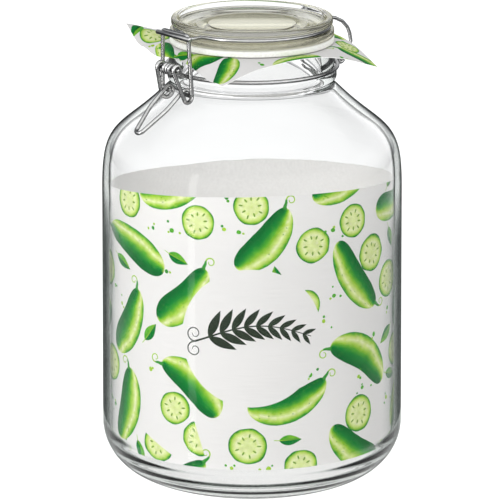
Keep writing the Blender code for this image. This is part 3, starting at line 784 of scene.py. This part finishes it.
sheet_length = 1000 * SLEEVE_R * (2 * math.pi + OVERLAP)
bottom_mm = 1000 * SLEEVE_LOW.z
border = [(sheet_length * i / EDGE_STEPS, bottom_mm) for i in range(EDGE_STEPS + 1)]
for i in range(EDGE_STEPS, -1, -1):
    along = sheet_length * i / EDGE_STEPS
    direction = SEAM + along / (1000 * SLEEVE_R)
    lean = SLEEVE_LEAN[0] * math.cos(direction) + SLEEVE_LEAN[1] * math.sin(direction)
    border.append((along, 1000 * (SLEEVE_TOP + BODY_R * lean)))
field_x = 1000 * SLEEVE_R * math.pi
field = oval(field_x, 1000 * FIELD_Z, 1000 * FIELD_R, 1000 * FIELD_R, 0, 72)
motifs = lay_out(sheet_length, bottom_mm, 1000 * SLEEVE_HIGH.z, pitch=52.0, slices=48, leaves=26,
                 drop_groups=70, seed=9)
sprig = [(leafy_sprig(), field_x, 1000 * FIELD_Z, 0.0)]
sleeve_piece = printed_mesh("rolled_print", border, motifs, spacing=4.0, bare=field, emblem=sprig)
radii = {}
for vert in sleeve_piece.data.vertices:
    along, height = vert.co.x / 1000, vert.co.y / 1000
    level = round(height, 4)
    if level not in radii:
        radii[level] = inside_radius(level) - SLEEVE_GAP
    turn = along / SLEEVE_R
    tucked = max(0.0, min(1.0, (TUCK_FROM - turn) / TUCK_OVER))     # the first end lies under the last
    radius = radii[level] - TUCK_SHEETS * SLEEVE_PAPER * ease(tucked)
    vert.co = (radius * math.cos(SEAM + turn), radius * math.sin(SEAM + turn), height)
thicken(sleeve_piece, SLEEVE_PAPER, -1.0, print_look, back_look)
sleeve_piece.visible_shadow = False         # thin paper, which the light comes through
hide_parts("paper_sleeve")
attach(sleeve_piece, "jar")

# the square under the lid, creased down round the gasket
SQUARE_SIDE = 0.1143
SQUARE_FLAT_R = 0.0508          # the gasket holds it flat inside this radius
SQUARE_FIELD_R = 40.0           # its middle is bare inside this radius, in mm
SQUARE_Z = 0.2720
SQUARE_PAPER = 0.0003
SQUARE_BEND = 0.0030            # how soon past the gasket it has its full slope
SQUARE_CORNER = math.radians(38)        # direction of one corner from +X
SQUARE_EDGE_STEPS = 40          # points along each edge
BEND_STEPS = 12
# how steeply the free paper hangs: (direction from +X, slope), both in degrees
SQUARE_HANG = ((-142, -15), (-128, 12), (-116, 55), (-97, 75), (-82, 75), (-67, 45), (-52, 22),
               (-34, 15), (-7, 5), (38, 25), (83, 10), (128, 12), (173, 10), (196, 0), (218, -15))


def hang(degrees):
    """Slope of the free paper in a direction, eased between the given ones, in radians."""
    while degrees < SQUARE_HANG[0][0]:
        degrees += 360.0
    while degrees > SQUARE_HANG[-1][0]:
        degrees -= 360.0
    for (a0, s0), (a1, s1) in zip(SQUARE_HANG, SQUARE_HANG[1:]):
        if a0 <= degrees <= a1:
            t = (degrees - a0) / (a1 - a0)
            return math.radians(s0 + (s1 - s0) * ease(t))
    return 0.0


half = 500 * SQUARE_SIDE
corners = [(-half, -half), (half, -half), (half, half), (-half, half)]
border = []
for (x0, y0), (x1, y1) in zip(corners, corners[1:] + corners[:1]):
    border += [(x0 + (x1 - x0) * i / SQUARE_EDGE_STEPS, y0 + (y1 - y0) * i / SQUARE_EDGE_STEPS)
               for i in range(SQUARE_EDGE_STEPS)]
# each motif, its place from the middle in mm and its turn in degrees
motifs = [(motif, x, y, math.radians(turn)) for motif, x, y, turn in (
    (gherkin(30, 12, 3, 1.3), 20, -50, 55), (gherkin(30, 13, 3, 2.6), 45, -46, -50),
    (gherkin(36, 11, 3, 4.1), 55, -4, 96), (gherkin(34, 13, 4, 5.2), 50, 50, 42),
    (slice_round(8, 3.0), 34, 48, 0), (slice_round(9.5, 1.0), -41, -45, 0), (leaf(17, 7, 2.0), -56, -46, -50),
    (gherkin(27, 11, 3, 7.7), -16, -54, 160), (gherkin(40, 14, 5, 3.3), -50, 34, 70),
    (gherkin(38, 13, 5, 6.4), 2, 53, 8), (slice_round(9, 5.0, False), -34, 51, 20),
    (leaf(15, 7, 6.0), 0, -55, 20), (leaf(14, 6, 4.0), -54, -8, 95), (drops(1.1), 53, -26, 0),
    (drops(2.2), -30, -53, 0), (drops(3.3), 55, 30, 0), (drops(4.4), 26, 50, 0), (drops(5.5), -53, 8, 0))]
field = oval(0, 0, SQUARE_FIELD_R, SQUARE_FIELD_R, 0, 60)
square_piece = printed_mesh("lid_print", border, motifs, spacing=2.5, bare=field)
for vert in square_piece.data.vertices:
    x, y = vert.co.x / 1000, vert.co.y / 1000
    direction = math.atan2(y, x) + SQUARE_CORNER - math.radians(45)
    reach = math.hypot(x, y)
    out, height = reach, SQUARE_Z
    if reach > SQUARE_FLAT_R:
        past = reach - SQUARE_FLAT_R
        slope = hang(math.degrees(direction))
        out = SQUARE_FLAT_R
        for step in range(BEND_STEPS):
            tilt = slope * min(1.0, (step + 0.5) / BEND_STEPS * past / SQUARE_BEND)
            out += math.cos(tilt) * past / BEND_STEPS
            height -= math.sin(tilt) * past / BEND_STEPS
    vert.co = (out * math.cos(direction), out * math.sin(direction), height)
thicken(square_piece, SQUARE_PAPER, 0.0, square_look, back_look)
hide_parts("paper_square")
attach(square_piece, "lid")


# ---- The neck wire: a ring of bright zinc-plated steel wire sprung round the neck above the bead. In front
# its ends rise as an ear and wind round the pin that the lever turns on; behind, two legs hold the hinge pin.

WIRE_R = 0.0013
NECK_WIRE_R, NECK_WIRE_Z = 0.0523, 0.2578
PIN = (0.0643, 0.2640)          # ear pin: distance in front of the axis, height
EAR_HALF = 0.0098               # half the pin's length
HINGE = (0.0606, 0.2555)        # hinge pin: distance behind the axis, height
HINGE_HALF = 0.0152
COIL_TURNS = 4
COIL_R = 0.0025                 # middle of the wound wire from the pin's middle
COIL_LEAN, COIL_PHASE = 0.0008, 0.8     # how far each turn leans along the pin, and where it leans most
COIL_START, COIL_PAST = -110.0, 40.0    # where it starts, and how far past its full turns it goes, degrees
COIL_STEPS = 28                 # points to a turn
HINGE_LEG_X = 0.0060            # the two legs that hold the hinge pin
LEG_INTO_RING = 0.0004
WIRE_SIDES = 16
WIRE_CREASE = math.radians(40)
TIP_REACH = (0.15, 0.5)         # a cut end is rounded by points this far from it, in radii of the wire
TIP_SHARE = (0.55, 0.85)        # and by its thickness at the end and at the first of them
CLOUD_PER_M = 260.0             # clouds in the plating, about 4 mm
DRAW_LINES_PER_M = 2600.0       # marks of the drawing die, about 0.4 mm, coarse enough to show

# Drawn steel wire with bright zinc: fine marks from the die and a slightly cloudy plating; its colour is
# darkened towards its rims as painted shade.
wire_look = new_material("zinc_plated_steel_wire")
place = add_node(wire_look, "ShaderNodeTexCoord")
cloud = add_node(wire_look, "ShaderNodeTexNoise", {"Scale": CLOUD_PER_M, "Detail": 4.0},
                 {"Vector": place.outputs["Object"]})
tone = add_node(wire_look, "ShaderNodeValToRGB", {}, {"Fac": cloud.outputs["Fac"]})
set_stops(tone, [(0.35, "#e6e6e5"), (0.65, "#f6f5f3")])
# painted shade: the colour darkens where the wire turns away from view
rim = add_node(wire_look, "ShaderNodeLayerWeight", {"Blend": 0.5})
painted_rim_shade = add_node(wire_look, "ShaderNodeValToRGB", {}, {"Fac": rim.outputs["Facing"]})
set_stops(painted_rim_shade, [(0.10, "#ffffff"), (0.46, "#585a5c")])
# the plating's colour times the painted rim shade
tone = add_node(wire_look, "ShaderNodeMix", {"data_type": "RGBA", "blend_type": "MULTIPLY", 0: 1.0},
                {6: tone.outputs["Color"], 7: painted_rim_shade.outputs["Color"]})
polish = add_node(wire_look, "ShaderNodeMapRange", {"To Min": 0.17, "To Max": 0.28},
                  {"Value": cloud.outputs["Fac"]})
scuff = add_node(wire_look, "ShaderNodeTexNoise", {"Scale": DRAW_LINES_PER_M, "Detail": 2.0},
                 {"Vector": place.outputs["Object"]})
lines = add_node(wire_look, "ShaderNodeBump", {"Strength": 0.05, "Distance": 0.00005},
                 {"Height": scuff.outputs["Fac"]})
skin = add_node(wire_look, "ShaderNodeBsdfPrincipled", {"Metallic": 1.0},
                {"Base Color": tone.outputs[2], "Roughness": polish.outputs["Result"],
                 "Normal": lines.outputs["Normal"]})
add_node(wire_look, "ShaderNodeOutputMaterial", {}, {"Surface": skin.outputs["BSDF"]})


def front(x, out, height):
    """A point on the clamp's side, given how far it is in front of the jar's axis."""
    return Vector((x, -out, height))


def circle(radius, height, first, last, steps):
    """Points round the jar's axis; angles in degrees from +X."""
    return [Vector((x, y, height)) for x, y in arc((0.0, 0.0), radius, first, last, steps)]


def rounded(points, radius, steps=8):
    """The points with each sharp corner replaced by an arc of about the radius."""
    path = [points[0]]
    for before, corner, after in zip(points, points[1:], points[2:]):
        back = before - corner
        ahead = after - corner
        turn = math.pi - back.angle(ahead)
        reach = min(radius * math.tan(turn / 2), 0.49 * back.length, 0.49 * ahead.length)
        if turn < math.radians(8):
            path.append(corner)
            continue
        first = corner + back.normalized() * reach
        last = corner + ahead.normalized() * reach
        for step in range(steps + 1):
            t = step / steps
            path.append(first * (1 - t) ** 2 + corner * (2 * t * (1 - t)) + last * t ** 2)
    path.append(points[-1])
    return path


def bent_wire(name, path, radius, cyclic=False):
    """A round wire along a path, its cut ends a little rounded, as a closed mesh."""
    curve = bpy.data.curves.new(name, "CURVE")
    curve.dimensions = "3D"
    curve.bevel_depth = radius
    curve.bevel_resolution = (WIRE_SIDES - 4) // 2
    curve.use_fill_caps = True
    spline = curve.splines.new("POLY")
    tips = [] if cyclic else [reach * radius for reach in TIP_REACH]
    line = list(path)
    if tips:
        start, end = (line[1] - line[0]).normalized(), (line[-2] - line[-1]).normalized()
        line = [line[0]] + [line[0] + start * t for t in tips] + line[1:-1]
        line += [path[-1] + end * t for t in reversed(tips)] + [path[-1]]
    spline.points.add(len(line) - 1)
    for point, where in zip(spline.points, line):
        point.co = (*where, 1.0)
    if tips:
        for index, share in enumerate(TIP_SHARE):
            spline.points[index].radius = share
            spline.points[-1 - index].radius = share
    spline.use_cyclic_u = cyclic
    piece = bpy.data.objects.new(name, curve)
    bpy.context.scene.collection.objects.link(piece)
    bpy.ops.object.select_all(action="DESELECT")
    piece.select_set(True)
    bpy.context.view_layer.objects.active = piece
    bpy.ops.object.convert(target="MESH")
    piece = bpy.context.object
    bpy.ops.object.mode_set(mode="EDIT")
    bpy.ops.mesh.select_all(action="SELECT")
    bpy.ops.mesh.remove_doubles(threshold=MERGE)
    bpy.ops.mesh.normals_make_consistent(inside=False)
    bpy.ops.object.mode_set(mode="OBJECT")
    bpy.ops.object.shade_smooth_by_angle(angle=WIRE_CREASE)
    piece.data.materials.clear()
    piece.data.materials.append(wire_look)
    return piece


def join(name, pieces):
    """Joins meshes into one object."""
    bpy.ops.object.select_all(action="DESELECT")
    for piece in pieces:
        piece.select_set(True)
    bpy.context.view_layer.objects.active = pieces[0]
    bpy.ops.object.join()
    joined = bpy.context.object
    joined.name = name
    joined.data.name = name
    return joined


ring_wire = bent_wire("neck_ring", circle(NECK_WIRE_R, NECK_WIRE_Z, 0, 360, 180)[:-1], WIRE_R, cyclic=True)
ear_pin = bent_wire("ear_pin", [front(-EAR_HALF, *PIN), front(EAR_HALF, *PIN)], WIRE_R)
coil_half = (COIL_TURNS - 1) * WIRE_R
wound = (COIL_TURNS - 1) * 360.0 + COIL_PAST
winding = []
for step in range(COIL_STEPS * COIL_TURNS + 1):
    share = step / (COIL_STEPS * COIL_TURNS)
    angle = math.radians(COIL_START - wound * share)
    lean = COIL_LEAN * math.sin(angle + COIL_PHASE)
    winding.append(front(-coil_half + 2 * coil_half * share + lean,
                         PIN[0] - COIL_R * math.sin(angle), PIN[1] + COIL_R * math.cos(angle)))
first_leg = front(winding[0].x, NECK_WIRE_R, NECK_WIRE_Z)
last_leg = front(winding[-1].x, NECK_WIRE_R, NECK_WIRE_Z)
ear = bent_wire("ear_winding", [first_leg] + winding + [last_leg], WIRE_R)
ends = [Vector((x, *HINGE)) for x in (-HINGE_HALF, HINGE_HALF)]
hinge_pin = bent_wire("hinge_pin", ends, WIRE_R)
neck_pieces = [ring_wire, ear_pin, ear, hinge_pin]
for x in (-HINGE_LEG_X, HINGE_LEG_X):
    leg = [Vector((x, *HINGE)), Vector((x, NECK_WIRE_R - LEG_INTO_RING, NECK_WIRE_Z))]
    neck_pieces.append(bent_wire("hinge_leg", leg, WIRE_R))
neck_piece = join("neck_wire_closure", neck_pieces)
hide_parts("neck_wire")
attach(neck_piece, "jar")


# ---- The lever: one wire bent into two hooks on the ear pin, an eye on each side for the bail, and a long
# narrow handle that lies on the shoulder when the clamp is shut.

GAP = 0.0003                    # clearance of a hook or an eye round its pin
HOOK_START = 200                # direction of the hooks' ends round the pin, degrees
EYE = (0.0580, 0.2476)          # its eyes: distance in front of the axis, height
EYE_R = 0.0037
EYE_STEPS = 40
HANDLE_END = 0.0896             # how far in front of the axis the handle reaches
HANDLE_SLOPE = math.radians(39.0)
HANDLE_HALF = 0.0079            # half its width, middle to middle of the wire
HANDLE_TAPER = 0.0205           # length of its narrowing end
HANDLE_TIP = 0.0033             # half its width at the tip
HANDLE_BEND = 0.030             # radius where it starts to narrow
TIP_START = 15.0                # where the tip's arc takes over from the narrowing sides, degrees
TIP_STEPS = 14
EYE_X = 0.0112                  # the crank's side of each eye

hook_r = 2 * WIRE_R + GAP
crank = Vector((EYE[0] - PIN[0], EYE[1] - PIN[1]))
meet = 90.0 + math.degrees(math.atan2(crank.y, crank.x) + math.asin((EYE_R - hook_r) / crank.length))
leave = 90.0 - math.degrees(HANDLE_SLOPE) - 360.0
half_wire = [front(HANDLE_HALF, *point) for point in arc(PIN, hook_r, HOOK_START, meet, 24)]
for step, point in enumerate(arc(EYE, EYE_R, meet, leave, EYE_STEPS)):
    half_wire.append(front(EYE_X + (HANDLE_HALF - EYE_X) * step / EYE_STEPS, *point))
start = half_wire[-1]
length = (HANDLE_END - WIRE_R + start.y) / math.cos(HANDLE_SLOPE)
along = Vector((0.0, -math.cos(HANDLE_SLOPE), -math.sin(HANDLE_SLOPE)))
kink = start + along * (length - HANDLE_TAPER)
bend = []
for step in range(TIP_STEPS):
    angle = math.radians(TIP_START + (90.0 - TIP_START) * step / TIP_STEPS)
    where = start + along * (length - HANDLE_TIP + HANDLE_TIP * math.sin(angle))
    bend.append(Vector((HANDLE_TIP * math.cos(angle), where.y, where.z)))
half_wire += rounded([start, Vector((HANDLE_HALF, kink.y, kink.z)), bend[0]], HANDLE_BEND)[1:] + bend[1:]
tip = start + along * length
other_half = [Vector((-p.x, p.y, p.z)) for p in reversed(half_wire)]
lever_piece = bent_wire("lever_bent_wire", half_wire + [Vector((0.0, tip.y, tip.z))] + other_half, WIRE_R)
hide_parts("lever_handle")
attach(lever_piece, "lever")


# ---- The bail: a wire frame that turns in the lever's eyes and hooks over the lid wire's tongue, with a
# short thicker thumb rod welded across its top.

BAIL_FOOT = (0.0580, 0.2484)                # where its feet turn in the eyes
BAIL_TOP = (0.0124, 0.0592, 0.2853)         # half width, distance in front, height
BAIL_FOOT_X = (0.0063, 0.0143)              # inner end and leg
BAIL_BEND = 0.0025
BAIL_ROD = (0.0164, 0.0606, 0.2837)         # half width, distance, height
ROD_R = 0.0015

top_x, top_out, top_z = BAIL_TOP
frame_points = [front(x, *BAIL_FOOT) for x in BAIL_FOOT_X] + [front(top_x, top_out, top_z)]
frame_points += [Vector((-p.x, p.y, p.z)) for p in reversed(frame_points)]
bail_frame = bent_wire("bail_frame", rounded(frame_points, BAIL_BEND), WIRE_R)
rod_half, rod_out, rod_z = BAIL_ROD
rod = bent_wire("bail_rod", [front(-rod_half, rod_out, rod_z), front(rod_half, rod_out, rod_z)], ROD_R)
bail_piece = join("bail_bent_wire", [bail_frame, rod])
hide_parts("bail_loop")
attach(bail_piece, "bail")


# ---- The lid wire: a thinner wire sprung into the lid's groove, drawn out in front to the tongue that the
# bail pulls on, and behind into two arms whose eyes turn on the hinge pin.

LID_WIRE_R = 0.0011
LID_WIRE_RING_R = 0.0475
TONGUE = (0.0095, 0.0558)                   # half width, distance in front of the axis
HINGE_X = 0.0122                            # where its arms meet the hinge pin
HINGE_EYE = 250                             # how far its eyes go round the pin, degrees
LID_WIRE_BEND = 0.0022
# each arm: distance behind the axis, height
ARM = ((0.0515, LID_WIRE_Z), (0.0562, 0.2814), (0.0621, 0.2785), (0.0662, 0.2742),
       (0.0680, 0.2702), (0.0690, 0.2652))

tongue_x, tongue_out = TONGUE
first = -90.0 + math.degrees(math.asin(tongue_x / LID_WIRE_RING_R))
last = 90.0 - math.degrees(math.asin(HINGE_X / LID_WIRE_RING_R))
half_wire = [front(0.0, tongue_out, LID_WIRE_Z), front(tongue_x, tongue_out, LID_WIRE_Z)]
half_wire += circle(LID_WIRE_RING_R, LID_WIRE_Z, first, last, 70)
half_wire += [Vector((HINGE_X, *point)) for point in ARM]
half_wire = rounded(half_wire, LID_WIRE_BEND, 6)
eye_r = WIRE_R + GAP + LID_WIRE_R
out = Vector(ARM[-1]) - Vector(HINGE)
meet = math.degrees(math.atan2(out.y, out.x) - math.acos(eye_r / out.length))
half_wire += [Vector((HINGE_X, *point)) for point in arc(HINGE, eye_r, meet, meet - HINGE_EYE, 24)]
other_half = [Vector((-p.x, p.y, p.z)) for p in reversed(half_wire[1:])]
lid_wire_piece = bent_wire("lid_ring_wire", other_half + half_wire, LID_WIRE_R)
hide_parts("lid_wire")
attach(lid_wire_piece, "lid")


# ---- The studio: a plain pale floor, a wide soft light above, a tall narrow window light from the left, a
# broad fill, and a pale surround that is darker low down, which draws the glass's edges.

FLOOR_GLOW = 0.33               # light from the floor itself, which keeps it white round the foot
MOTTLE_PER_M = 9.0              # faint clouds in the board, about 0.1 m


def board_disc(name, radius, below_foot):
    """A flat round board under the jar."""
    bpy.ops.object.select_all(action="DESELECT")
    bpy.ops.mesh.primitive_circle_add(vertices=96, radius=radius, fill_type="NGON",
                                      location=(0, 0, -below_foot))
    disc = bpy.context.object
    disc.name = name
    return disc


floor = board_disc("floor", 3.2, 0.0002)
near_floor = board_disc("floor_round_the_foot", 0.16, 0.0001)
floor_look = new_material("matt_white_board")
place = add_node(floor_look, "ShaderNodeTexCoord")
mottle = add_node(floor_look, "ShaderNodeTexNoise", {"Scale": MOTTLE_PER_M, "Detail": 3.0},
                  {"Vector": place.outputs["Object"]})
board = add_node(floor_look, "ShaderNodeValToRGB", {}, {"Fac": mottle.outputs["Fac"]})
set_stops(board, [(0.3, "#f3f3f2"), (0.7, "#f7f7f6")])
skin = add_node(floor_look, "ShaderNodeBsdfPrincipled",
                {"Roughness": 0.9, "Specular IOR Level": 0.1, "Emission Color": linear("#ffffff"),
                 "Emission Strength": FLOOR_GLOW}, {"Base Color": board.outputs["Color"]})
add_node(floor_look, "ShaderNodeOutputMaterial", {}, {"Surface": skin.outputs["BSDF"]})
floor.data.materials.append(floor_look)
near_floor.data.materials.append(floor_look)
floor.visible_glossy = False                # past the foot, glass and wire mirror a dark room

VIEW_TURN = math.radians(51)    # the camera stands this far round from the clamp
TOWARD_CAMERA = Vector((math.sin(VIEW_TURN), -math.cos(VIEW_TURN), 0.0))
TO_RIGHT = Vector((math.cos(VIEW_TURN), math.sin(VIEW_TURN), 0.0))
AIM = Vector((0, 0, 0.2))       # what the lights are turned to


def soft_light(name, width, height, toward, right, up, power, seen=True):
    """A rectangular area light, placed by how far it is towards the camera, to the right and up."""
    bpy.ops.object.select_all(action="DESELECT")
    where = TOWARD_CAMERA * toward + TO_RIGHT * right + Vector((0, 0, up))
    bpy.ops.object.light_add(type="AREA", location=where)
    light = bpy.context.object
    light.name = name
    light.data.shape = "RECTANGLE"
    light.data.size = width
    light.data.size_y = height
    light.data.energy = power
    light.visible_glossy = seen
    light.visible_transmission = seen
    light.rotation_euler = (where - AIM).to_track_quat("Z", "Y").to_euler()


soft_light("top_light", width=5.0, height=5.0, toward=0.0, right=0.0, up=2.4, power=50.0)
soft_light("window_light", width=0.22, height=2.6, toward=1.5, right=-1.55, up=0.0, power=10.0)
soft_light("fill_light", width=2.0, height=1.6, toward=2.6, right=-1.1, up=1.5, power=26.0, seen=False)

SURROUND_STRENGTH = 1.5
BACKDROP = (0.9, 0.9, 0.9, 1.0)         # what the camera sees past the jar, in linear values

surround = bpy.data.worlds.new("pale_surround")
bpy.context.scene.world = surround
surround.use_nodes = True
surround.node_tree.nodes.clear()
place = add_node(surround, "ShaderNodeTexCoord")
split = add_node(surround, "ShaderNodeSeparateXYZ", {}, {"Vector": place.outputs["Generated"]})
upward = add_node(surround, "ShaderNodeMapRange", {"From Min": -1.0, "From Max": 1.0},
                  {"Value": split.outputs["Z"]})
height_shade = add_node(surround, "ShaderNodeValToRGB", {}, {"Fac": upward.outputs["Result"]})
set_stops(height_shade, [(0.0, "#58595a"), (0.46, "#6e6f70"), (0.53, "#cacbcd"), (0.57, "#ffffff"),
                         (0.68, "#fcfdff"), (0.80, "#747678")])
path = add_node(surround, "ShaderNodeLightPath")
behind = add_node(surround, "ShaderNodeMix", {"data_type": "RGBA", 7: BACKDROP},
                  {0: path.outputs["Is Camera Ray"], 6: height_shade.outputs["Color"]})
glow = add_node(surround, "ShaderNodeBackground", {"Strength": SURROUND_STRENGTH},
                {"Color": behind.outputs[2]})
add_node(surround, "ShaderNodeOutputWorld", {}, {"Surface": glow.outputs["Background"]})

bpy.context.scene.view_settings.view_transform = "Standard"

# the camera stands to the right of the clamp and looks a little down
CAMERA_AWAY = 2.3
CAMERA_UP = 0.7669
CAMERA_TILT = math.radians(15.25)
CAMERA_LENS = 274.5
bpy.ops.object.camera_add(location=TOWARD_CAMERA * CAMERA_AWAY + Vector((0, 0, CAMERA_UP)),
                          rotation=(math.pi / 2 - CAMERA_TILT, 0.0, VIEW_TURN))
camera = bpy.context.object
camera.data.lens = CAMERA_LENS
camera.data.sensor_width = 36.0
bpy.context.scene.camera = camera
